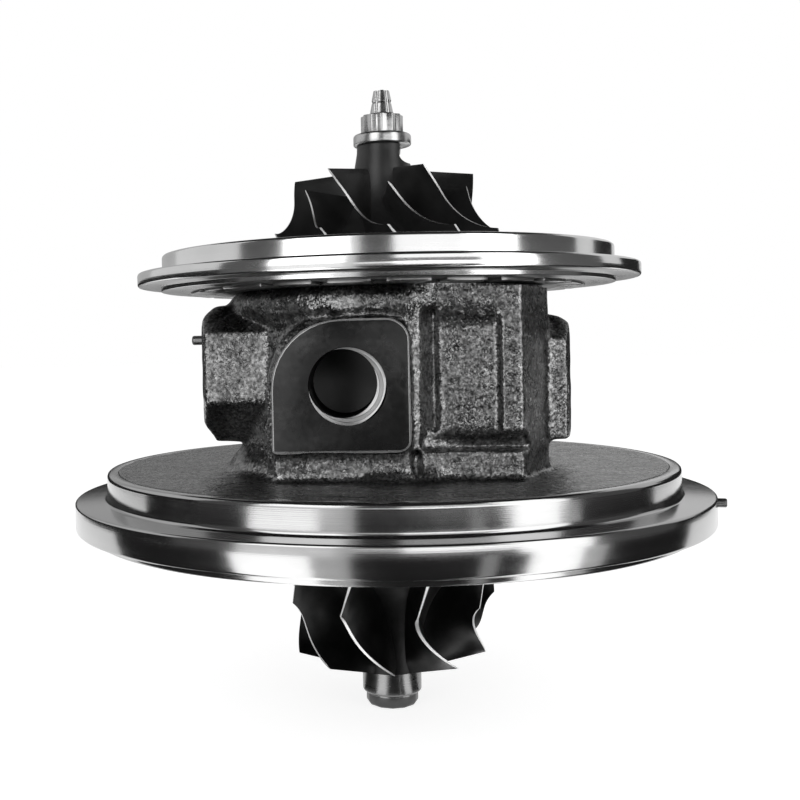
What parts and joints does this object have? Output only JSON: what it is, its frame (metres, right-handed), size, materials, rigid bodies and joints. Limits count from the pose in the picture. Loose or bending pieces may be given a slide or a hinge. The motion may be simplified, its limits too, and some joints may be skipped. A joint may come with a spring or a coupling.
{
  "type": "turbocharger cartridge",
  "caption": "Turbocharger core: cast bearing housing with a wide turbine flange, aluminium compressor backplate, and a rotor with bladed wheels spinning in floating bushes.",
  "frame": {"origin": "on the shaft axis, in the plane under the flange rim where the turbine housing seats", "axes": "+Z along the shaft towards the compressor, -Y out of the oil feed pad, +Y out of the oil drain pad"},
  "size_m": [0.112, 0.112, 0.111],
  "materials": {
    "cast_iron": "sand cast, with turned flange rim, pilot, bores and pads",
    "machined_aluminium": "turned bright",
    "wheel_aluminium": "cast, dark satin",
    "turbine_alloy": "investment cast, dark satin",
    "ground_steel": "ground",
    "bright_nut": "nickel plated",
    "dull_steel": "plain",
    "shield_steel": "pressed sheet",
    "bearing_bronze": "turned",
    "seal_rubber": "matt"
  },
  "bodies": {
    "housing": {"bearing_housing": "cast_iron", "turbine_flange": "cast_iron", "compressor_backplate": "machined_aluminium", "backplate_screws": "dull_steel", "backplate_o_ring": "seal_rubber", "thrust_bearing": "bearing_bronze", "thrust_bearing_pins": "dull_steel", "compressor_seal_ring": "dull_steel", "turbine_seal_ring": "dull_steel", "bush_snap_rings": "dull_steel", "heat_shield": "shield_steel", "housing_dowel_pin": "dull_steel", "flange_locating_pin": "dull_steel"},
    "rotor": {"rotor_shaft": "ground_steel", "turbine_wheel": "turbine_alloy", "thrust_collar": "ground_steel", "oil_flinger": "ground_steel", "compressor_wheel": "wheel_aluminium", "compressor_nut": "bright_nut"},
    "turbine_bush": {"turbine_side_bush": "bearing_bronze"},
    "compressor_bush": {"compressor_side_bush": "bearing_bronze"}
  },
  "joints": [
    {"name": "rotor_spin", "type": "hinge", "parent": "housing", "child": "rotor", "pos_m": [0, 0, 0], "axis": [0, 0, 1], "continuous": true},
    {"name": "turbine_bush_spin", "type": "hinge", "parent": "housing", "child": "turbine_bush", "pos_m": [0, 0, 0.013], "axis": [0, 0, 1], "continuous": true},
    {"name": "compressor_bush_spin", "type": "hinge", "parent": "housing", "child": "compressor_bush", "pos_m": [0, 0, 0.027], "axis": [0, 0, 1], "continuous": true}
  ],
  "couplings": [
    {"joint": "turbine_bush_spin", "follows": "rotor_spin", "ratio": 0.3},
    {"joint": "compressor_bush_spin", "follows": "rotor_spin", "ratio": 0.3}
  ]
}
